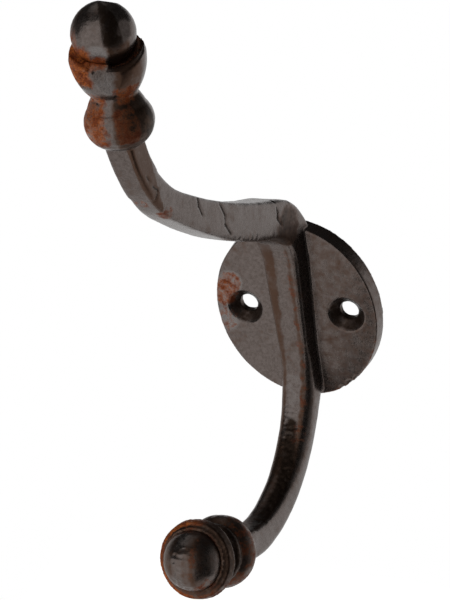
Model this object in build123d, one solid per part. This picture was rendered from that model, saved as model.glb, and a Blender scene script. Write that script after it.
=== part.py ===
from build123d import *
import os
from math import sqrt

# Cast-iron coat hook: an oval backplate with two countersunk screw holes, and one bar that runs
# down the plate as a rib, leaves its top as the long hat arm and its bottom as the coat arm.
# Each arm ends in a finial: a bead, a thin ring, a cup and a ball.
# Millimetres. The origin is the centre of the plate's rear face. +Z is up, the wall is at y = 0,
# the hook reaches out towards -Y, and x = 0 is the middle plane of the plate and both arms.

# Backplate, slightly taller than wide, and wider at the wall by the draft of its mould
PLATE_WIDTH = 50.8
PLATE_HEIGHT = 57.0
PLATE_THICKNESS = 5.2
PLATE_DRAFT = 0.4
PLATE_EDGE_RADIUS = 0.4

# Screw holes, one each side of the rib
HOLE_SPACING = 32.2
HOLE_RISE = 0.5
HOLE_DIAMETER = 5.6
COUNTERSINK_DIAMETER = 11.4
COUNTERSINK_DEPTH = 3.0

# Rib, the straight stretch of the bar along the plate; its sides lean in from the wall to its front
BAR_WALL_GAP = 0.1
RIB_PROUD = 5.6
RIB_TOP = 19.2
RIB_BOTTOM = -9.9
RIB_TOP_WALL_WIDTH = 16.4
RIB_TOP_FRONT_WIDTH = 10.4
RIB_BOTTOM_WALL_WIDTH = 13.2
RIB_BOTTOM_FRONT_WIDTH = 9.0
RIB_FOOT = 0.4
RIB_FOOT_TOP = 27.0
RIB_FOOT_BOTTOM = -22.0

# The corners of the bar are rounded by a share of its section's smaller side
RIB_CORNER_SHARE = 0.15
HAT_CORNER_SHARE = 0.12
COAT_CORNER_SHARE = 0.36

# Hat arm: a root bend away from the wall, a long slight bend back up, a tighter one at its tip
HAT_ROOT_RADIUS = 19.0
HAT_ROOT_TURN = 68.7
HAT_LONG_RADIUS = 216.2
HAT_LONG_TURN = 15.55
HAT_TIP_RADIUS = 34.8
HAT_TIP_TURN = 54.15
HAT_ROOT_SHARE = 0.25
HAT_ROOT_WIDTH = 11.1
HAT_MIDDLE_SHARE = 0.5
HAT_MIDDLE_WIDTH = 9.5
HAT_BEND_SHARE = 0.75
HAT_BEND_WIDTH = 7.6
HAT_TIP_WIDTH = 7.5

# Coat arm: a bend under the plate, a slightly wider one, and a straight run to its finial
COAT_ROOT_RADIUS = 36.9
COAT_ROOT_TURN = 69.4
COAT_TIP_RADIUS = 40.8
COAT_TIP_TURN = 49.9
COAT_STRAIGHT_LENGTH = 11.9
COAT_ROOT_SHARE = 0.2
COAT_ROOT_WIDTH = 10.7
COAT_MIDDLE_SHARE = 0.45
COAT_MIDDLE_WIDTH = 9.6
COAT_TIP_WIDTH = 9.6

# Finial of the hat arm: diameters, and places along its axis from the middle of the bead.
# Its cup is filed down, at a slant in degrees through the middle of the ledge, with a groove round
# the ball. The low side of the slant is turned by some degrees from the front towards +X.
HAT_BEAD_DIAMETER = 16.4
HAT_BEAD_FOOT = 6.3
HAT_BEAD_NECK_DIAMETER = 13.8
HAT_BEAD_NECK_AT = 3.5
HAT_RING_DIAMETER = 12.5
HAT_RING_AT = 4.9
HAT_NECK_DIAMETER = 10.8
HAT_NECK_AT = 6.3
HAT_SHOULDER_DIAMETER = 15.4
HAT_SHOULDER_AT = 9.9
HAT_CUP_DIAMETER = 17.7
HAT_CUP_AT = 15.4
HAT_LEDGE_DIAMETER = 16.3
HAT_LEDGE_AT = 18.5
HAT_BALL_DIAMETER = 14.8
HAT_BALL_AT = 20.1
HAT_CUP_SLANT = 31.0
HAT_CUP_TURN = 38.0
HAT_GROOVE_WIDTH = 1.5
HAT_GROOVE_DEPTH = 2.2

# Finial of the coat arm, wider and shorter
COAT_BEAD_DIAMETER = 20.0
COAT_BEAD_FOOT = 5.5
COAT_BEAD_NECK_DIAMETER = 15.6
COAT_BEAD_NECK_AT = 3.4
COAT_RING_DIAMETER = 16.8
COAT_RING_AT = 4.5
COAT_NECK_DIAMETER = 13.4
COAT_NECK_AT = 6.4
COAT_SHOULDER_DIAMETER = 15.0
COAT_SHOULDER_AT = 10.2
COAT_CUP_DIAMETER = 21.4
COAT_CUP_AT = 13.2
COAT_LEDGE_DIAMETER = 20.3
COAT_LEDGE_AT = 16.0
COAT_BALL_DIAMETER = 16.2
COAT_BALL_AT = 16.0

BAR_CENTRE = (PLATE_THICKNESS + RIB_PROUD + BAR_WALL_GAP) / 2
RIB_DEPTH = PLATE_THICKNESS + RIB_PROUD - BAR_WALL_GAP


def backplate():
    """The oval plate with its front rim rounded."""
    rear = Plane.XZ * Ellipse(PLATE_WIDTH / 2 + PLATE_DRAFT, PLATE_HEIGHT / 2 + PLATE_DRAFT)
    front_plane = Plane.XZ.offset(PLATE_THICKNESS)
    front = front_plane * Ellipse(PLATE_WIDTH / 2, PLATE_HEIGHT / 2)
    plate = loft([rear, front])
    front_rim = plate.edges().sort_by(Axis.Y)[0]
    return fillet(front_rim, PLATE_EDGE_RADIUS)


def screw_hole(side):
    """Cutter for one countersunk hole, sunk from the plate's front face."""
    mouth = Plane.XZ.offset(PLATE_THICKNESS) * Pos(side * HOLE_SPACING / 2, HOLE_RISE)
    shank = mouth * Cylinder(HOLE_DIAMETER / 2, 4 * PLATE_THICKNESS)
    below_mouth = (Align.CENTER, Align.CENTER, Align.MAX)
    seat = Cone(
        HOLE_DIAMETER / 2, COUNTERSINK_DIAMETER / 2, COUNTERSINK_DEPTH, align=below_mouth
    )
    return shank + mouth * seat


def hat_path():
    """Middle line of the hat arm, in the plane x = 0, from the top of the rib."""
    with BuildLine(Plane.YZ) as line:
        root = JernArc((-BAR_CENTRE, RIB_TOP), (0, 1), HAT_ROOT_RADIUS, HAT_ROOT_TURN)
        long_bend = JernArc(root @ 1, root % 1, HAT_LONG_RADIUS, -HAT_LONG_TURN)
        JernArc(long_bend @ 1, long_bend % 1, HAT_TIP_RADIUS, -HAT_TIP_TURN)
    return line.wire()


def coat_path():
    """Middle line of the coat arm, in the plane x = 0, from the bottom of the rib."""
    with BuildLine(Plane.YZ) as line:
        root = JernArc((-BAR_CENTRE, RIB_BOTTOM), (0, -1), COAT_ROOT_RADIUS, -COAT_ROOT_TURN)
        tip = JernArc(root @ 1, root % 1, COAT_TIP_RADIUS, -COAT_TIP_TURN)
        PolarLine(tip @ 1, COAT_STRAIGHT_LENGTH, direction=tip % 1)
    return line.wire()


def bar_section(path, share, wall_width, front_width, depth, corner_share):
    """The bar's rounded section, across a path at a share of its length."""
    across = Plane(origin=path @ share, x_dir=(1, 0, 0), z_dir=path % share)
    wall = depth / 2 if across.z_dir.Z > 0 else -depth / 2
    right = [(wall_width / 2, wall), (front_width / 2, -wall)]
    left = [(-x, y) for x, y in reversed(right)]
    section = make_face(Polyline(*right, *left, close=True))
    corner = corner_share * min(front_width, depth)
    return across * fillet(section.vertices(), corner)


def square_section(path, share, width, corner_share):
    return bar_section(path, share, width, width, width, corner_share)


def rib_top():
    widths = (RIB_TOP_WALL_WIDTH, RIB_TOP_FRONT_WIDTH)
    return bar_section(hat_path(), 0, *widths, RIB_DEPTH, RIB_CORNER_SHARE)


def rib_bottom():
    widths = (RIB_BOTTOM_WALL_WIDTH, RIB_BOTTOM_FRONT_WIDTH)
    return bar_section(coat_path(), 0, *widths, RIB_DEPTH, RIB_CORNER_SHARE)


def hat_arm():
    path = hat_path()
    sections = [
        rib_top(),
        square_section(path, HAT_ROOT_SHARE, HAT_ROOT_WIDTH, HAT_CORNER_SHARE),
        square_section(path, HAT_MIDDLE_SHARE, HAT_MIDDLE_WIDTH, HAT_CORNER_SHARE),
        square_section(path, HAT_BEND_SHARE, HAT_BEND_WIDTH, HAT_CORNER_SHARE),
        square_section(path, 1, HAT_TIP_WIDTH, HAT_CORNER_SHARE),
    ]
    return sweep(sections, path=path, multisection=True)


def coat_arm():
    path = coat_path()
    sections = [
        rib_bottom(),
        square_section(path, COAT_ROOT_SHARE, COAT_ROOT_WIDTH, COAT_CORNER_SHARE),
        square_section(path, COAT_MIDDLE_SHARE, COAT_MIDDLE_WIDTH, COAT_CORNER_SHARE),
        square_section(path, 1, COAT_TIP_WIDTH, COAT_CORNER_SHARE),
    ]
    return sweep(sections, path=path, multisection=True)


def rib():
    """The bar between the roots of the two arms."""
    return loft([rib_bottom(), rib_top()])


def foot_section(height, width):
    """Trapezoid across the foot of the rib, sunk half into the plate."""
    inner = width / 2
    outer = inner + RIB_FOOT
    face = -PLATE_THICKNESS
    sunk = face / 2
    corners = [(outer, sunk), (outer, face), (inner, face - RIB_FOOT)]
    mirrored = [(-x, y) for x, y in reversed(corners)]
    return Plane.XY.offset(height) * make_face(Polyline(*corners, *mirrored, close=True))


def rib_foot():
    """The sloping foot that joins the rib to the plate's face and fades out into both arms."""
    sections = (
        foot_section(RIB_FOOT_TOP, HAT_ROOT_WIDTH),
        foot_section(RIB_TOP, (RIB_TOP_WALL_WIDTH + RIB_TOP_FRONT_WIDTH) / 2),
        foot_section(RIB_BOTTOM, (RIB_BOTTOM_WALL_WIDTH + RIB_BOTTOM_FRONT_WIDTH) / 2),
        foot_section(RIB_FOOT_BOTTOM, COAT_ROOT_WIDTH - 4 * RIB_FOOT),
    )
    return loft(sections, ruled=True)


def finial(
    rod,
    bead,
    bead_foot,
    bead_neck,
    bead_neck_at,
    ring,
    ring_at,
    neck,
    neck_at,
    shoulder,
    shoulder_at,
    cup,
    cup_at,
    ledge,
    ledge_at,
    ball,
    ball_at,
):
    """Bead, ring, cup and ball turned about Z, with the middle of the bead at the origin."""
    ball_foot = sqrt((ball / 2) ** 2 - (ball_at - ledge_at) ** 2)
    ball_flank = ball / sqrt(8)
    with BuildSketch(Plane.XZ) as profile:
        with BuildLine():
            foot = Line((0, -bead_foot), (rod / 2, -bead_foot))
            bulge = ThreePointArc(foot @ 1, (bead / 2, 0), (bead_neck / 2, bead_neck_at))
            band = ThreePointArc(bulge @ 1, (ring / 2, ring_at), (neck / 2, neck_at))
            flank = ThreePointArc(band @ 1, (shoulder / 2, shoulder_at), (cup / 2, cup_at))
            rim = Line(flank @ 1, (ledge / 2, ledge_at))
            step = Line(rim @ 1, (ball_foot, ledge_at))
            flank_point = (ball_flank, ball_at + ball_flank)
            crown = ThreePointArc(step @ 1, flank_point, (0, ball_at + ball / 2))
            Line(crown @ 1, foot @ 0)
        make_face()
    return revolve(profile.sketch, Axis.Z)


def above_slant(depth):
    """All that stands over the slant of the hat arm's cup, and down to a depth under it."""
    reach = 2 * HAT_CUP_DIAMETER
    on_slant = (Align.CENTER, Align.CENTER, Align.MIN)
    slant = Pos(0, 0, HAT_LEDGE_AT) * Rot(Z=HAT_CUP_TURN) * Rot(X=HAT_CUP_SLANT)
    return slant * Pos(0, 0, -depth) * Box(reach, reach, reach, align=on_slant)


def filing():
    """Cutter for the slant of the hat arm's cup and its groove, which leaves the ball."""
    centre = Pos(0, 0, HAT_BALL_AT)
    radius = HAT_BALL_DIAMETER / 2
    groove = above_slant(HAT_GROOVE_DEPTH) & centre * Sphere(radius + HAT_GROOVE_WIDTH)
    return above_slant(0) + groove - centre * Sphere(radius)


def hat_finial():
    path = hat_path()
    turned = finial(
        HAT_TIP_WIDTH,
        HAT_BEAD_DIAMETER,
        HAT_BEAD_FOOT,
        HAT_BEAD_NECK_DIAMETER,
        HAT_BEAD_NECK_AT,
        HAT_RING_DIAMETER,
        HAT_RING_AT,
        HAT_NECK_DIAMETER,
        HAT_NECK_AT,
        HAT_SHOULDER_DIAMETER,
        HAT_SHOULDER_AT,
        HAT_CUP_DIAMETER,
        HAT_CUP_AT,
        HAT_LEDGE_DIAMETER,
        HAT_LEDGE_AT,
        HAT_BALL_DIAMETER,
        HAT_BALL_AT,
    )
    return Plane(origin=path @ 1, x_dir=(1, 0, 0), z_dir=path % 1) * (turned - filing())


def coat_finial():
    path = coat_path()
    turned = finial(
        COAT_TIP_WIDTH,
        COAT_BEAD_DIAMETER,
        COAT_BEAD_FOOT,
        COAT_BEAD_NECK_DIAMETER,
        COAT_BEAD_NECK_AT,
        COAT_RING_DIAMETER,
        COAT_RING_AT,
        COAT_NECK_DIAMETER,
        COAT_NECK_AT,
        COAT_SHOULDER_DIAMETER,
        COAT_SHOULDER_AT,
        COAT_CUP_DIAMETER,
        COAT_CUP_AT,
        COAT_LEDGE_DIAMETER,
        COAT_LEDGE_AT,
        COAT_BALL_DIAMETER,
        COAT_BALL_AT,
    )
    return Plane(origin=path @ 1, x_dir=(1, 0, 0), z_dir=path % 1) * turned


def hook_casting():
    """The whole hook, one solid."""
    bar = rib() + hat_arm() + coat_arm() + hat_finial() + coat_finial()
    casting = bar + rib_foot() + backplate()
    for side in (-1, 1):
        casting -= screw_hole(side)
    return casting


if __name__ == "__main__":
    os.makedirs("parts", exist_ok=True)
    export_step(hook_casting(), "parts/hook_casting.step")
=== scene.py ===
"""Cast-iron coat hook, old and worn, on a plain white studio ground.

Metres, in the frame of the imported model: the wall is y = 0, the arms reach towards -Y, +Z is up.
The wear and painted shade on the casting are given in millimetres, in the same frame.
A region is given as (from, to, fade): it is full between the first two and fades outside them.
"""

import math

import bpy
import numpy as np
from mathutils import Euler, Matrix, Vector, noise


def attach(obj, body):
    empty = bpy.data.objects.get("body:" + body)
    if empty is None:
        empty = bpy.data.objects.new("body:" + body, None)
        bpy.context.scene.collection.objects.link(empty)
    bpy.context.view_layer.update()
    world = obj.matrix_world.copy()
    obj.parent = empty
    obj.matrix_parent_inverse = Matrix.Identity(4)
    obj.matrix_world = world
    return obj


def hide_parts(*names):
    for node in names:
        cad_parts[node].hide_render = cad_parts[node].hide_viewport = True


MM = 0.001

# Camera of the photograph: place in metres, turn in degrees, lens and sensor in mm
CAMERA_AT = (0.1675, -0.3587, 0.2118)
CAMERA_TURN = (62.12, 8.52, 23.78)
CAMERA_LENS = 90.0
SENSOR_WIDTH = 36.0

# Levels of the studio's lights
SOFT_BOX = 0.85
GROUND = 0.74
STREAK = 0.35
RIGHT_SIDE = 0.25
ROOM = 0.03

# Edges of the lights: each is dark at its first value and full at its second
BOX_RIGHT_EDGE = (0.02, -0.04)
BOX_FAR_EDGE = (-0.2, 0.0)
BOX_TOP_EDGE = (0.05, -0.05)
HORIZON = (0.10, -0.05)
GROUND_NEAR_EDGE = (0.05, -0.15)
STREAK_LOW_EDGE = (0.82, 0.90)
STREAK_RIGHT_EDGE = (0.1, -0.1)
RIGHT_SIDE_EDGE = (0.78, 0.96)

# Slant of the soft box's top: how much it goes by up, and by back
BOX_TOP_SLANT = (0.77, 0.64)

# Floor in metres, its grey, its glow for the camera and its glow in reflections
FLOOR_HALF = 0.4
FLOOR_HEIGHT = -0.45
FLOOR_GREY = 0.8
FLOOR_GLOW = 0.9
FLOOR_MIRRORED = 0.8 * GROUND

# Mesh of the casting
VOXEL = 0.46 * MM
SMOOTHING_ROUNDS = 3
HAT_ARM_ROUNDS = 22
COAT_ARM_ROUNDS = 18

# Cast surface: how far inside the CAD part it lies, and its waves as depth, width and seed
CAST_SKIN = 0.05
CAST_WAVES = ((0.09, 8, 1), (0.05, 3, 2), (0.02, 1.2, 3))

# Sizes of the noises in the iron
BLOTCHES = 9 * MM
PATCHES = 2.4 * MM
GRAIN = 0.8 * MM
SPECKS = 0.3 * MM
FILE_MARKS = 0.5 * MM
GRINDING = 0.6 * MM

# How ragged the painted patches are, and where each begins and is full
RAGGED_BY_PATCHES = 1.5
RAGGED_BY_GRAIN = 0.7
RUST_EDGE = (0.36, 0.78)
BROWN_EDGE = (0.25, 0.85)
DARK_EDGE = (0.3, 0.7)
POLISH_EDGE = (0.2, 0.8)
FILM_EDGE = (0.44, 0.62)
FILM = 0.38

# Colours of the iron
DULL_IRON = (0.112, 0.089, 0.079, 1)
CLEAN_IRON = (0.168, 0.138, 0.127, 1)
POLISHED_IRON = (0.200, 0.180, 0.172, 1)
BROWN_STAIN = (0.092, 0.052, 0.035, 1)
# Colour of the dark share: dirt in cracks, pits and scratches, and painted shade on the finials' right sides,
# in their grooves, at the hat arm's root and under the hat arm
DARK_DIRT_AND_SHADE = (0.032, 0.020, 0.014, 1)
ORANGE_RUST = (0.55, 0.155, 0.034, 1)
RED_RUST = (0.24, 0.056, 0.016, 1)
RUST_SPECKS = (0.070, 0.024, 0.014, 1)
# Rust under the dark share, darkened by dirt and by painted shade
RUST_UNDER_DIRT_AND_SHADE = (0.085, 0.021, 0.008, 1)

# Finish of the iron and of the rust
IRON_ROUGH = 0.27
BROWN_ROUGH = 0.40
# Roughness of the dark share, which is both dirt and painted shade
DIRT_AND_SHADE_ROUGH = 0.5
RUST_ROUGH = 0.65
GRAIN_ROUGH = 0.25
IRON_METAL = 0.93
RUST_METAL = 0.15
IRON_GLOSS = 0.5
RUST_GLOSS = 0.12
BUMP_STRENGTH = 0.30
BUMP_HEIGHT = 0.10 * MM

# Middle of each finial's bead, and the way its axis points
HAT_FINIAL = ((0.0, -82.6, 93.8), (0.0, 0.017, 1.0))
COAT_FINIAL = ((0.0, -74.1, -36.0), (0.0, -0.873, 0.488))

# Flats on the front of the hat finial: a place, the way the flat faces and its reach
FRONT_FLATS = (
    ((1.3, -88.6, 111.9), (0.19, -0.94, -0.29), 4.5),
    ((2.9, -89.2, 104.8), (0.38, -0.90, -0.20), 5.5),
)

# Ball of the hat finial, and its flats: the way each faces and its distance from the middle
HAT_BALL = (0.0, -82.26, 113.9)
BALL_FLATS = (
    ((0.92, -0.31, 0.23), 7.0),
    ((0.70, -0.55, 0.46), 7.1),
    ((0.12, 0.40, 0.91), 7.0),
)
BALL_FLAT_REACH = 4.0

# Patches on the hat finial: strength, region of degrees round it, region of mm along it
HAT_RUST = (
    (1.00, (-95, -15, 25), (11.6, 17.6, 3.0)),
    (0.75, (-25, 22, 12), (14.6, 16.2, 1.2)),
    (0.55, (-95, -32, 15), (17.0, 21.0, 3.0)),
    (0.72, (-80, -2, 22), (-3.0, 7.0, 3.0)),
    (0.66, (38, 75, 18), (5.5, 9.0, 1.5)),
    (0.66, (26, 60, 10), (-3.5, 4.0, 1.5)),
)
HAT_BROWN = (
    (0.90, (40, 85, 14), (7.0, 14.0, 3.0)),
    (1.00, (24, 95, 10), (-5.0, 5.5, 2.0)),
    (0.90, (36, 75, 10), (14.5, 18.5, 2.0)),
    (0.80, (-100, -40, 14), (15.0, 26.0, 3.0)),
)
# Painted shade on the right sides of the hat finial's ball and bead, where the lighting leaves them dark
HAT_RIGHT_SHADE = (
    (0.70, (30, 62, 8), (19.5, 30.0, 1.5)),
    (0.58, (26, 100, 8), (-4.0, 5.0, 2.0)),
)
HAT_PITS = ((1.00, (-36, -8, 8), (10.5, 14.0, 1.5)),)
HAT_TOOL_MARKS = ((1.00, (-10, 38, 8), (-4.5, 3.5, 1.5)),)

# Polished spots on the hat finial: x, y, z, radius and strength
HAT_POLISH = (
    (1.2, -88.9, 111.2, 1.9, 0.9),
    (-1.6, -88.4, 110.3, 1.5, 0.7),
    (2.9, -89.3, 104.6, 2.4, 0.6),
)

# Scratch across the ball: start, end and half width
SCRATCH = ((-0.2, -89.4, 111.0), (2.2, -89.2, 111.1), 0.5)

# Groove round the ball: region out from the ball's middle, and its upper end along the axis
GROOVE = (7.6, 9.0, 0.3)
GROOVE_TOP = 18.3

# Regions of the coat finial along its axis
COAT_FLARE = (15.0, 17.5, 0.3)
COAT_RING = (13.2, 17.0, 0.8)
COAT_CUP_EDGE = (11.6, 17.0, 0.8)
COAT_BEAD_AND_NECK = (-3, 12.0, 1)
# Region along the axis of the painted shade in the neck groove
COAT_NECK_SHADE = (3.6, 12.6, 1.0)

# Regions of the coat finial out from its axis
LEDGE_OUT = (7.9, 12.0, 0.5)
CORNER_OUT = (7.8, 8.7, 0.3)
CUP_EDGE_OUT = (9.3, 12.0, 0.5)
# Reach out from the axis of the painted shade in the neck
NECK_SHADE_OUT = 9.4
FLARE_INNER = 8.25
FLARE_OUTER = 10.2
FLARE_WIDTH = 2.1

# Patches on the coat finial: strength, region along it and region of x
BEAD_RUST = (0.42, (-5, 3, 1), (4, 11, 3))
BALL_RUST = (0.45, (16.2, 20, 1.5), (1.5, 6, 2))
BALL_RUST_TOP = -29
COAT_BROWN = ((0.6, (-4, 3, 1), (1, 9, 2)), (0.6, (16.0, 26, 2), (0.5, 5.0, 1.5)))

# Rib and its worn flat: regions of height and x, and how the flat's sides shift on the way down
RIB_Z = (-40, 24, 6)
RIB_FRONT = -7.0
FLAT_Z = (-31, 24, 5)
FLAT_LEFT = -0.9
FLAT_RIGHT = 1.9
FLAT_LEFT_SHIFT = -1.6
FLAT_RIGHT_SHIFT = -0.6
FLAT_FADE = 0.9
FLAT_TOP = 24
FLAT_FALL = 50
HATCH_Z = (-33, -14, 4)
HATCH_X = (-3, 2.2, 0.8)
RIB_RUST_X = (2.0, 3.4, 0.8)
RIB_BARE_X = (3.6, 9, 0.6)

# Brown stripe and chatter marks of the hat arm; the chatter marks lie on its lower side and are also darkened
# there as painted shade
STRIPE_X = (2.5, 3.9, 0.4)
STRIPE_Z = (68, 90, 6)
CHATTER_Y = (-42, -17, 3)
CHATTER_Z = (30.5, 38.0, 1.5)

# Rust spots on the two arms: x, y, z, radius and strength
HAT_ARM_RUST = ((-1.0, -79.0, 70.6, 1.8, 0.5), (2.6, -74.6, 65.8, 2.2, 0.5))
COAT_ARM_RUST = ((3.0, -20.5, -33.0, 3.0, 0.38),)

# Cracks in the hat arm: half width, then the places that each runs through
CRACKS = (
    (0.5, (3.7, -79.2, 75.4), (3.7, -77.2, 73.6), (3.6, -79.2, 71.8)),
    (0.4, (3.7, -81.2, 78.8), (3.7, -80.4, 77.4)),
    (0.6, (4.2, -59.8, 63.6), (4.4, -60.2, 61.5), (4.4, -59.2, 58.5)),
    (0.6, (4.7, -49.6, 57.2), (4.8, -48.0, 53.0), (4.9, -48.6, 50.5)),
    (0.7, (4.9, -48.6, 50.5), (4.9, -46.6, 47.0)),
    (0.6, (4.6, -19.4, 43.4), (5.6, -18.6, 40.0), (5.7, -19.4, 38.0), (5.7, -17.6, 35.4)),
)

# Painted shade at the root of the hat arm, in brown and dark: place and radius
ROOT_SHADE = ((6.0, -14.5, 32.5), 5.5)

# Middle of the dark pitted band along the coat arm, and its half width
PITTED_BAND = (
    (-0.5, -19.0, -31.0),
    (0.8, -25.5, -37.5),
    (1.8, -36.4, -42.4),
    (1.4, -48.5, -42.6),
    (2.2, -59.0, -38.2),
)
PITTED_HALF = 3.2

# Backplate: its size and countersinks, a limit just in front of its face, its rim and its brown side
PLATE_HALF_WIDTH = 25.4
PLATE_HALF_HEIGHT = 28.5
HOLE_X = 16.1
HOLE_Z = 0.5
SINK = (0, 5.1, 0.4)
PLATE_LIMIT = -5.7
RIM = (0.985, 1.01, 0.01)
RIM_Y = (PLATE_LIMIT, -4.6, 0.3)
PLATE_BROWN_X = (8, 26, 4)

# Chips in the plate's rim and rust on its left: x, y, z, radius and strength
CHIPS = (
    (14.8, -5.2, -23.0, 0.9, 1.0),
    (17.0, -5.2, -21.2, 0.7, 1.0),
    (12.0, -5.2, -25.0, 0.7, 0.8),
)
PLATE_RUST = (
    (-22.5, -5.2, 5.5, 4.0, 0.64),
    (-19.5, -5.2, 9.0, 3.0, 0.56),
    (-23.2, -5.2, -4.0, 3.4, 0.46),
)

# Depths of the wear in mm, and the height of the flare on the coat finial
FLARE_HEIGHT = 1.3
PIT_DEPTH = 0.8
BAND_PIT_DEPTH = 0.30
CRACK_DEPTH = 0.40
CHIP_DEPTH = 0.45
SCRATCH_DEPTH = 0.15
CHATTER_DEPTH = 0.13
TOOL_MARK_DEPTH = 0.07
RIB_FLAT_DEPTH = 0.10
RIB_HATCH_DEPTH = 0.12
RIB_RIPPLE_DEPTH = 0.05

# Stretches of the two arms whose edges are worn round, from and to
HAT_ARM_Z = (27, 78)
HAT_ARM_Y = (-80, -11)
COAT_ARM_Z = (-60, -8)
COAT_ARM_Y = (-66, -7)

LAYERS = ("rust", "brown", "dark", "polish")

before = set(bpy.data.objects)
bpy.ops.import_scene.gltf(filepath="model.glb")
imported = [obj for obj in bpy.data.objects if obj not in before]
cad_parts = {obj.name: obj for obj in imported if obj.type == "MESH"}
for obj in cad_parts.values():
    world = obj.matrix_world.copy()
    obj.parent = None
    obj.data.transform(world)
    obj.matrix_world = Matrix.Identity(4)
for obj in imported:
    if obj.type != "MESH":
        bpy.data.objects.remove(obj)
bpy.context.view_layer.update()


def camera_turn():
    return Euler([math.radians(a) for a in CAMERA_TURN], "XYZ")


def add_camera():
    data = bpy.data.cameras.new("camera")
    data.lens = CAMERA_LENS
    data.sensor_width = SENSOR_WIDTH
    data.clip_start = 0.01
    data.clip_end = 50.0
    camera = bpy.data.objects.new("camera", data)
    camera.location = CAMERA_AT
    camera.rotation_euler = camera_turn()
    bpy.context.scene.collection.objects.link(camera)
    bpy.context.scene.camera = camera


class Nodes:
    """Short words for building a node tree."""

    def __init__(self, tree):
        tree.nodes.clear()
        self.tree = tree

    def add(self, kind, inputs=None, **settings):
        node = self.tree.nodes.new(kind)
        for name, value in settings.items():
            setattr(node, name, value)
        for name, value in (inputs or {}).items():
            self.put(node, name, value)
        return node

    def put(self, node, name, value):
        socket = node.inputs[name]
        if isinstance(value, bpy.types.NodeSocket):
            self.tree.links.new(value, socket)
        else:
            socket.default_value = value

    def math(self, operation, a, b):
        return self.add("ShaderNodeMath", {0: a, 1: b}, operation=operation).outputs[0]

    def plus(self, *values):
        total = values[0]
        for value in values[1:]:
            total = self.math("ADD", total, value)
        return total

    def times(self, *values):
        total = values[0]
        for value in values[1:]:
            total = self.math("MULTIPLY", total, value)
        return total

    def greatest(self, *values):
        total = values[0]
        for value in values[1:]:
            total = self.math("MAXIMUM", total, value)
        return total

    def dot(self, a, b):
        return self.add("ShaderNodeVectorMath", {0: a, 1: b}, operation="DOT_PRODUCT").outputs["Value"]

    def mix_colour(self, share, a, b):
        return self.add("ShaderNodeMix", {0: share, 6: a, 7: b}, data_type="RGBA").outputs[2]

    def mix_number(self, share, a, b):
        return self.add("ShaderNodeMix", {0: share, 2: a, 3: b}).outputs[0]

    def noise(self, where, size, detail):
        """Noise between about 0.25 and 0.75, whose blotches are size metres across."""
        inputs = {"Vector": where, "Scale": 1 / size, "Detail": detail, "Roughness": 0.6}
        return self.add("ShaderNodeTexNoise", inputs).outputs[0]

    def ramp(self, value, dark, full):
        """0 up to the value dark, 1 from the value full; dark may be the greater one."""
        inputs = {"Value": value, "From Min": dark, "From Max": full}
        return self.add("ShaderNodeMapRange", inputs, clamp=True).outputs[0]

    def centred(self, value):
        return self.math("SUBTRACT", value, 0.5)

    def stretched(self, where, by):
        return self.add("ShaderNodeVectorMath", {0: where, 1: by}, operation="MULTIPLY").outputs[0]

    def attribute(self, name):
        return self.add("ShaderNodeAttribute", attribute_name=name).outputs["Fac"]


def set_world():
    """A dark room with a soft box on the left, a pale ground behind, and weak light from above and right."""
    turn = camera_turn().to_matrix()
    right, up, back = (tuple(turn.col[i]) for i in range(3))
    world = bpy.data.worlds.new("studio")
    world.use_nodes = True
    nodes = Nodes(world.node_tree)
    way = nodes.add("ShaderNodeTexCoord").outputs["Generated"]
    across = nodes.dot(way, right)
    upward = nodes.dot(way, up)
    backward = nodes.dot(way, back)
    height = nodes.dot(way, (0.0, 0.0, 1.0))
    rise, lean = BOX_TOP_SLANT
    box_top = nodes.math("SUBTRACT", nodes.times(upward, rise), nodes.times(backward, lean))
    box_sides = nodes.times(nodes.ramp(across, *BOX_RIGHT_EDGE), nodes.ramp(box_top, *BOX_TOP_EDGE))
    soft_box = nodes.times(box_sides, nodes.ramp(backward, *BOX_FAR_EDGE), SOFT_BOX)
    ground = nodes.times(nodes.ramp(height, *HORIZON), nodes.ramp(backward, *GROUND_NEAR_EDGE), GROUND)
    streak = nodes.times(nodes.ramp(upward, *STREAK_LOW_EDGE), nodes.ramp(across, *STREAK_RIGHT_EDGE), STREAK)
    right_side = nodes.times(nodes.ramp(across, *RIGHT_SIDE_EDGE), RIGHT_SIDE)
    light = nodes.plus(nodes.greatest(soft_box, ground, streak, right_side), ROOM)
    seen = nodes.add("ShaderNodeLightPath").outputs["Is Camera Ray"]
    strength = nodes.mix_number(seen, light, 1.0)
    sky = nodes.add("ShaderNodeBackground", {"Color": (1, 1, 1, 1), "Strength": strength})
    out = nodes.add("ShaderNodeOutputWorld")
    nodes.put(out, "Surface", sky.outputs[0])
    bpy.context.scene.world = world


def floor_white():
    """Pale matt floor; what the camera sees of it is lifted to white, and reflections see it lit."""
    material = bpy.data.materials.new("floor_white")
    material.use_nodes = True
    nodes = Nodes(material.node_tree)
    matt = nodes.add("ShaderNodeBsdfDiffuse", {"Color": (FLOOR_GREY, FLOOR_GREY, FLOOR_GREY, 1)})
    path = nodes.add("ShaderNodeLightPath").outputs
    lift = nodes.plus(
        nodes.times(path["Is Camera Ray"], FLOOR_GLOW),
        nodes.times(path["Is Glossy Ray"], FLOOR_MIRRORED),
    )
    glow = nodes.add("ShaderNodeEmission", {"Color": (1, 1, 1, 1), "Strength": lift})
    both = nodes.add("ShaderNodeAddShader", {0: matt.outputs[0], 1: glow.outputs[0]})
    out = nodes.add("ShaderNodeOutputMaterial")
    nodes.put(out, "Surface", both.outputs[0])
    return material


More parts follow.
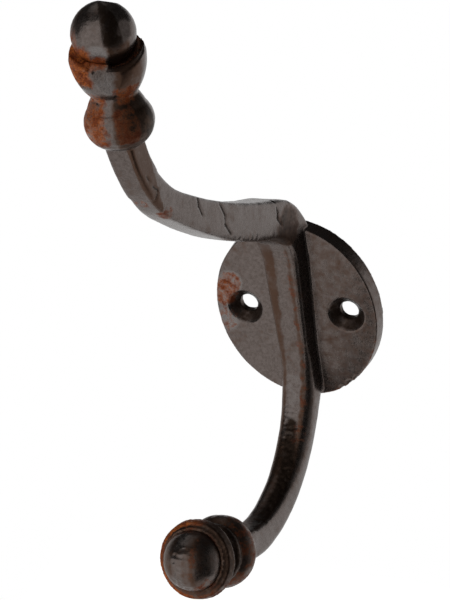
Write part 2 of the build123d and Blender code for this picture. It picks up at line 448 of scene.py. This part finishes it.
def add_floor():
    """A square floor well below the hook."""
    mesh = bpy.data.meshes.new("floor")
    square = ((-1, -1), (1, -1), (1, 1), (-1, 1))
    mesh.from_pydata([(x * FLOOR_HALF, y * FLOOR_HALF, FLOOR_HEIGHT) for x, y in square], [], [(0, 1, 2, 3)])
    mesh.materials.append(floor_white())
    floor = bpy.data.objects.new("floor", mesh)
    bpy.context.scene.collection.objects.link(floor)


def apply_modifiers(piece):
    """Makes the mesh that the piece's modifiers give its own."""
    shaped = piece.evaluated_get(bpy.context.evaluated_depsgraph_get())
    mesh = bpy.data.meshes.new_from_object(shaped)
    piece.modifiers.clear()
    piece.data = mesh


def remeshed(source, name):
    """A copy of a CAD node as an even, smoothed mesh, fine enough to be worked like clay."""
    piece = bpy.data.objects.new(name, source.data.copy())
    bpy.context.scene.collection.objects.link(piece)
    remesh = piece.modifiers.new("remesh", "REMESH")
    remesh.mode = "VOXEL"
    remesh.voxel_size = VOXEL
    smooth = piece.modifiers.new("smooth", "SMOOTH")
    smooth.factor = 0.5
    smooth.iterations = SMOOTHING_ROUNDS
    wrap = piece.modifiers.new("wrap", "SHRINKWRAP")
    wrap.target = source
    wrap.wrap_method = "NEAREST_SURFACEPOINT"
    apply_modifiers(piece)
    piece.data.materials.clear()
    return piece


def soften(piece, chosen, rounds):
    """Smooths the chosen points, which rounds the edges among them."""
    group = piece.vertex_groups.new(name="soft")
    group.add([int(i) for i in np.flatnonzero(chosen)], 1.0, "REPLACE")
    smooth = piece.modifiers.new("soften", "SMOOTH")
    smooth.factor = 0.5
    smooth.iterations = rounds
    smooth.vertex_group = group.name
    apply_modifiers(piece)
    piece.vertex_groups.clear()


class Clay:
    """The points of a mesh in mm, pushed and painted."""

    def __init__(self, mesh):
        self.mesh = mesh
        flat = np.empty(len(mesh.vertices) * 3)
        mesh.vertices.foreach_get("co", flat)
        self.points = flat.reshape(-1, 3) / MM
        mesh.vertex_normals.foreach_get("vector", flat)
        self.out = flat.reshape(-1, 3).copy()

    def push(self, depths):
        """Moves the surface inwards by the depths."""
        self.points -= self.out * np.asarray(depths)[:, None]

    def noise(self, size, seed):
        """Smooth noise from -1 to 1, with blotches about size mm across."""
        shift = Vector((seed * 7.3, seed * 3.1, seed * 5.7))
        return np.array([noise.noise(Vector(p) / size + shift) for p in self.points])

    def spot(self, place, radius):
        """1 within the radius of a place, fading to 0 at one and a half radii."""
        away = np.linalg.norm(self.points - place, axis=1) / radius
        return np.clip(3 - 2 * away, 0, 1)

    def spots(self, places):
        """The strongest of several spots, given as x, y, z, radius and strength."""
        total = np.zeros(len(self.points))
        for x, y, z, radius, strength in places:
            total = np.maximum(total, strength * self.spot((x, y, z), radius))
        return total

    def line(self, start, end, radius):
        """1 along a line, fading to 0 at the radius."""
        start = np.array(start)
        way = np.array(end) - start
        share = np.clip((self.points - start) @ way / (way @ way), 0, 1)
        away = np.linalg.norm(self.points - start - share[:, None] * way, axis=1) / radius
        return np.clip(1 - away, 0, 1)

    def grind(self, place, normal, reach):
        """Cuts a flat: what stands above the plane through the place, within reach, is pressed to it."""
        normal = np.array(normal) / np.linalg.norm(normal)
        above = np.maximum((self.points - place) @ normal, 0)
        above[np.linalg.norm(self.points - place, axis=1) > reach] = 0
        self.points -= above[:, None] * normal

    def finish(self):
        """Writes the points back to the mesh, with none behind the wall."""
        self.points[:, 1] = np.minimum(self.points[:, 1], 0)
        self.mesh.vertices.foreach_set("co", (self.points * MM).ravel())
        self.mesh.update()

    def store(self, name, values):
        attribute = self.mesh.attributes.new(name, "FLOAT", "POINT")
        attribute.data.foreach_set("value", np.clip(values, 0, 1).astype(np.float32))


def between(values, low, high, fade):
    """1 where the values lie between low and high, fading to 0 over the distance fade outside."""
    return np.clip(1 + (values - low) / fade, 0, 1) * np.clip(1 + (high - values) / fade, 0, 1)


def within(values, low, high):
    return (values > low) & (values < high)


def strongest(*masks):
    return np.maximum.reduce(masks)


class Turned:
    """Places on a turned finial: mm along its axis, mm out from it, and degrees round it from the front."""

    def __init__(self, points, finial):
        base, axis = (np.array(v) for v in finial)
        axis /= np.linalg.norm(axis)
        front = np.cross(axis, (1.0, 0.0, 0.0))
        if front @ (0.0, -1.0, 0.0) < 0:
            front = -front
        rel = points - base
        self.along = rel @ axis
        side = rel[:, 0]
        ahead = rel @ front
        self.out = np.hypot(side, ahead)
        self.angle = np.degrees(np.arctan2(side, ahead))
        self.near = (self.out < 12) & (self.along > -7) & (self.along < 30)

    def patches(self, rows):
        """The strongest of several patches, given as strength, region round and region along."""
        masks = [share * between(self.angle, *turn) * between(self.along, *way) for share, turn, way in rows]
        return strongest(*masks) * self.near

    def strip(self, x, row):
        """A patch given as strength, region along the axis and region of x."""
        share, way, across = row
        return share * between(self.along, *way) * between(x, *across)


def iron_shares(nodes, where, patches, grain):
    """The shares of rust, brown, dark and polish: what is painted on the mesh, made ragged."""
    ragged = nodes.plus(
        nodes.times(nodes.centred(patches), RAGGED_BY_PATCHES),
        nodes.times(nodes.centred(grain), RAGGED_BY_GRAIN),
    )
    film = nodes.times(nodes.ramp(nodes.noise(where, BLOTCHES, detail=5.0), *FILM_EDGE), FILM)
    rust = nodes.plus(nodes.attribute("rust"), ragged)
    brown = nodes.plus(nodes.greatest(nodes.attribute("brown"), film), ragged)
    dark = nodes.plus(nodes.attribute("dark"), nodes.times(ragged, 0.6))
    polish = nodes.plus(nodes.attribute("polish"), nodes.times(ragged, 0.7))
    return {
        "rust": nodes.ramp(rust, *RUST_EDGE),
        "brown": nodes.ramp(brown, *BROWN_EDGE),
        "dark": nodes.ramp(dark, *DARK_EDGE),
        "polish": nodes.ramp(polish, *POLISH_EDGE),
    }


def iron_colour(nodes, shares, patches, grain, specks):
    colour = nodes.mix_colour(nodes.ramp(grain, 0.35, 0.65), DULL_IRON, CLEAN_IRON)
    colour = nodes.mix_colour(shares["polish"], colour, POLISHED_IRON)
    colour = nodes.mix_colour(shares["brown"], colour, BROWN_STAIN)
    # The dark share paints dirt and also painted shade
    colour = nodes.mix_colour(shares["dark"], colour, DARK_DIRT_AND_SHADE)
    rust = nodes.mix_colour(nodes.ramp(patches, 0.36, 0.60), ORANGE_RUST, RED_RUST)
    rust = nodes.mix_colour(nodes.ramp(specks, 0.47, 0.72), rust, RUST_SPECKS)
    rust = nodes.mix_colour(nodes.times(shares["dark"], 0.85), rust, RUST_UNDER_DIRT_AND_SHADE)
    return nodes.mix_colour(shares["rust"], colour, rust)


def iron_roughness(nodes, shares, grain):
    rough = nodes.mix_number(shares["brown"], IRON_ROUGH, BROWN_ROUGH)
    rough = nodes.mix_number(shares["dark"], rough, DIRT_AND_SHADE_ROUGH)
    rough = nodes.mix_number(shares["rust"], rough, RUST_ROUGH)
    return nodes.plus(rough, nodes.times(nodes.centred(grain), GRAIN_ROUGH))


def iron_bump(nodes, where, grain, specks):
    """The finest roughness: cast grain, file marks across the arms and grinding marks along them."""
    file_marks = nodes.noise(nodes.stretched(where, (0.12, 1.0, 1.0)), FILE_MARKS, detail=3.0)
    grinding = nodes.noise(nodes.stretched(where, (1.0, 1.0, 0.15)), GRINDING, detail=3.0)
    marks = nodes.plus(nodes.times(file_marks, 0.6), nodes.times(grinding, 0.6))
    height = nodes.plus(grain, nodes.times(specks, 0.5), marks)
    bump = nodes.add("ShaderNodeBump", {"Height": height, "Strength": BUMP_STRENGTH, "Distance": BUMP_HEIGHT})
    return bump.outputs[0]


def iron():
    """Dark satin iron with rust, brown stain, polish, and a dark share that is partly dirt and partly painted
    shade.
    """
    material = bpy.data.materials.new("old_iron")
    material.use_nodes = True
    nodes = Nodes(material.node_tree)
    where = nodes.add("ShaderNodeTexCoord").outputs["Object"]
    patches = nodes.noise(where, PATCHES, detail=4.0)
    grain = nodes.noise(where, GRAIN, detail=4.0)
    specks = nodes.noise(where, SPECKS, detail=2.0)
    shares = iron_shares(nodes, where, patches, grain)
    surface = {
        "Base Color": iron_colour(nodes, shares, patches, grain, specks),
        "Metallic": nodes.mix_number(shares["rust"], IRON_METAL, RUST_METAL),
        "Roughness": iron_roughness(nodes, shares, grain),
        "Specular IOR Level": nodes.mix_number(shares["rust"], IRON_GLOSS, RUST_GLOSS),
        "Normal": iron_bump(nodes, where, grain, specks),
    }
    shader = nodes.add("ShaderNodeBsdfPrincipled", surface)
    out = nodes.add("ShaderNodeOutputMaterial")
    nodes.put(out, "Surface", shader.outputs[0])
    return material


def wear_and_shade_hat_finial(clay):
    """Flats, pits, tool marks and rust of the upper finial, rust and brown in the groove round its ball, and
    painted shade in that groove and on the right of its ball and bead.
    """
    for place, normal, reach in FRONT_FLATS:
        clay.grind(place, normal, reach)
    polish = clay.spots(HAT_POLISH)
    ball = np.array(HAT_BALL)
    for normal, away in BALL_FLATS:
        clay.grind(ball + away * np.array(normal), normal, BALL_FLAT_REACH)
    at = Turned(clay.points, HAT_FINIAL)
    pits = at.patches(HAT_PITS)
    clay.push(PIT_DEPTH * pits * np.clip(clay.noise(0.9, 11) * 2.6, 0, 1))
    clay.push(TOOL_MARK_DEPTH * at.patches(HAT_TOOL_MARKS) * np.sin(at.along * 4.2))
    scratch = clay.line(*SCRATCH)
    clay.push(SCRATCH_DEPTH * scratch)

    groove = between(np.linalg.norm(clay.points - ball, axis=1), *GROOVE) * (at.along < GROOVE_TOP) * at.near
    groove_rust = groove * np.where(at.angle < 20, 0.8, 0.42)
    # Painted shade in the groove on the finial's right side
    groove_shade = 0.15 * groove * between(at.angle, 40, 150, 25)
    return {
        "rust": strongest(at.patches(HAT_RUST), 0.8 * pits, groove_rust),
        "brown": strongest(at.patches(HAT_BROWN), groove),
        # Painted shade on the right of ball and bead and in the groove, and dirt in the scratch
        "dark": strongest(at.patches(HAT_RIGHT_SHADE), groove_shade, 0.7 * scratch * at.near),
        "polish": polish,
    }


def wear_and_shade_coat_finial(clay):
    """The flare between ball and ledge of the lower finial, its rust and brown, and painted shade on the
    ledge's right and in the neck groove.
    """
    at = Turned(clay.points, COAT_FINIAL)
    flare = between(at.along, *COAT_FLARE) * np.clip((FLARE_OUTER - at.out) / FLARE_WIDTH, 0, 1) ** 2
    flare *= (at.out > FLARE_INNER) * at.near
    clay.points += (FLARE_HEIGHT * flare)[:, None] * np.array(COAT_FINIAL[1])
    x = clay.points[:, 0]
    z = clay.points[:, 2]
    ring = between(at.along, *COAT_RING)
    ledge = ring * between(at.out, *LEDGE_OUT)
    corner = ring * between(at.out, *CORNER_OUT)
    edge = between(at.along, *COAT_CUP_EDGE) * between(at.out, *CUP_EDGE_OUT)
    left = np.clip(0.66 - x / 11, 0.15, 1.0)
    low = np.clip((-30.0 - z) / 8, 0, 0.6)
    top = np.clip((z + 24) / 6, 0, 1)
    rust = strongest(
        edge * np.maximum(left, low),
        0.36 * corner,
        0.4 * ledge * top,
        at.strip(x, BEAD_RUST),
        at.strip(x, BALL_RUST) * (z < BALL_RUST_TOP),
    )
    brown = strongest(
        0.9 * ledge,
        0.75 * between(at.along, *COAT_BEAD_AND_NECK) * between(at.out, 0, 9.3, 1),
        *(at.strip(x, row) for row in COAT_BROWN),
    )
    # Painted shade: the ledge darker on its right, and the neck darker in the groove behind the front disc
    dark = strongest(
        0.5 * ledge * between(x, 2, 12, 3),
        0.6 * between(at.along, *COAT_NECK_SHADE) * between(x, -4, 11, 2) * (at.out < NECK_SHADE_OUT),
    )
    return {"rust": rust * at.near, "brown": brown * at.near, "dark": dark * at.near}


def wear_rib(clay):
    """The worn flat down the rib's front, hatched at its foot, with brown and rust beside it."""
    x, y, z = clay.points.T
    rib = between(z, *RIB_Z) * (y < RIB_FRONT)
    fall = np.clip((FLAT_TOP - z) / FLAT_FALL, 0, 1)
    left = FLAT_LEFT + FLAT_LEFT_SHIFT * fall
    right = FLAT_RIGHT + FLAT_RIGHT_SHIFT * fall
    flat = between(x + 0.5 * clay.noise(2.2, 5), left, right, FLAT_FADE) * between(z, *FLAT_Z)
    clay.push(RIB_FLAT_DEPTH * flat * rib)
    hatch = between(z, *HATCH_Z) * between(x, *HATCH_X) * (y < -10)
    clay.push(RIB_HATCH_DEPTH * hatch * np.clip(clay.noise(0.8, 14) * 2, 0, 1))
    clay.push(-RIB_RIPPLE_DEPTH * flat * np.sin(z * 5.0) * rib)
    return {
        "rust": 0.36 * rib * between(x, *RIB_RUST_X) * (z > -28),
        "brown": 0.85 * rib * (1 - flat) * (1 - 0.6 * between(x, *RIB_BARE_X)),
        "polish": 0.35 * flat * rib * (z < -18),
    }


def shade_root(clay):
    """Painted shade, in brown and dark, in the corner where the hat arm leaves the plate."""
    root = clay.spot(*ROOT_SHADE) * (clay.points[:, 1] < -6)
    return {"brown": root, "dark": 0.5 * root}


def wear_and_shade_hat_arm(clay):
    """The cracks, chatter marks and rust spots of the hat arm, and the brown stripe below its finial; painted
    shade darkens the chatter marks on its lower side.
    """
    x, y, z = clay.points.T
    stripe = between(x, *STRIPE_X) * between(z, *STRIPE_Z) * (y < -74) * (y < -76.5 - 0.12 * (z - 70))
    cracks = np.zeros(len(x))
    for radius, *places in CRACKS:
        for start, end in zip(places, places[1:]):
            crack = clay.line(start, end, radius)
            clay.push(CRACK_DEPTH * crack)
            cracks = np.maximum(cracks, crack)
    chatter = between(y, *CHATTER_Y) * between(z + 0.55 * (y + 30), *CHATTER_Z) * (x > 0)
    ripple = np.sin((y - 0.4 * z) * 2.2 + 3.0 * clay.noise(4, 8))
    ripple *= np.clip(0.5 + 1.5 * clay.noise(3, 9), 0, 1)
    clay.push(CHATTER_DEPTH * chatter * ripple)
    return {
        "rust": clay.spots(HAT_ARM_RUST),
        "brown": stripe,
        # The chatter marks are real; their darkening on the arm's lower side is painted shade
        "dark": strongest(1.2 * cracks, 0.6 * chatter * np.clip(ripple, 0, 1)),
    }


def wear_coat_arm(clay):
    """The dark pitted band along the coat arm, and the rust spot at its upper end."""
    stretches = zip(PITTED_BAND, PITTED_BAND[1:])
    band = strongest(*(clay.line(start, end, PITTED_HALF) for start, end in stretches))
    clay.push(BAND_PIT_DEPTH * band * np.clip(clay.noise(1.1, 12) * 2.0, 0, 1))
    return {"rust": clay.spots(COAT_ARM_RUST), "dark": 0.75 * np.clip(1.6 * band, 0, 1)}


def wear_plate(clay):
    """Rust at the plate's left edge and along its rim, brown and dark in its countersinks, and chips in the
    rim.
    """
    x, y, z = clay.points.T
    plate = (y > PLATE_LIMIT).astype(float)
    chips = clay.spots(CHIPS)
    clay.push(CHIP_DEPTH * chips)
    patch = clay.spots(PLATE_RUST)
    edge = np.hypot(x / PLATE_HALF_WIDTH, z / PLATE_HALF_HEIGHT)
    rim = 0.48 * between(edge, *RIM) * between(y, *RIM_Y) * np.clip(0.6 - z / 60, 0, 1)
    holes = [np.hypot(x - side * HOLE_X, z - HOLE_Z) for side in (-1, 1)]
    sinks = between(np.minimum(*holes), *SINK) * (y > -5.05)
    return {
        "rust": np.maximum(patch, rim) * plate,
        "brown": np.maximum(0.55 * sinks, 0.42 * between(x, *PLATE_BROWN_X) * plate),
        "dark": np.maximum(0.55 * sinks, 0.6 * chips) * plate,
        "polish": 1.9 * patch * plate,
    }


def dress_hook():
    """The casting with rounded arms, an uneven cast skin, its wear and its painted shade."""
    hook = remeshed(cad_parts["hook_casting"], "hook")
    y, z = Clay(hook.data).points.T[1:]
    hat_arm = within(z, *HAT_ARM_Z) & within(y, *HAT_ARM_Y)
    coat_arm = within(z, *COAT_ARM_Z) & within(y, *COAT_ARM_Y)
    soften(hook, hat_arm, HAT_ARM_ROUNDS)
    soften(hook, coat_arm, COAT_ARM_ROUNDS)
    clay = Clay(hook.data)
    clay.push(CAST_SKIN + sum(depth * clay.noise(size, seed) for depth, size, seed in CAST_WAVES))
    steps = (wear_and_shade_hat_finial, wear_and_shade_coat_finial, wear_rib, shade_root, wear_and_shade_hat_arm, wear_coat_arm, wear_plate)
    step_layers = [step(clay) for step in steps]
    clay.finish()
    for name in LAYERS:
        clay.store(name, strongest(*(layers_of_step[name] for layers_of_step in step_layers if name in layers_of_step)))
    hook.data.shade_smooth()
    hook.data.materials.append(iron())
    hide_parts("hook_casting")
    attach(hook, "root")


bpy.context.scene.view_settings.view_transform = "Standard"
add_camera()
set_world()
add_floor()
dress_hook()
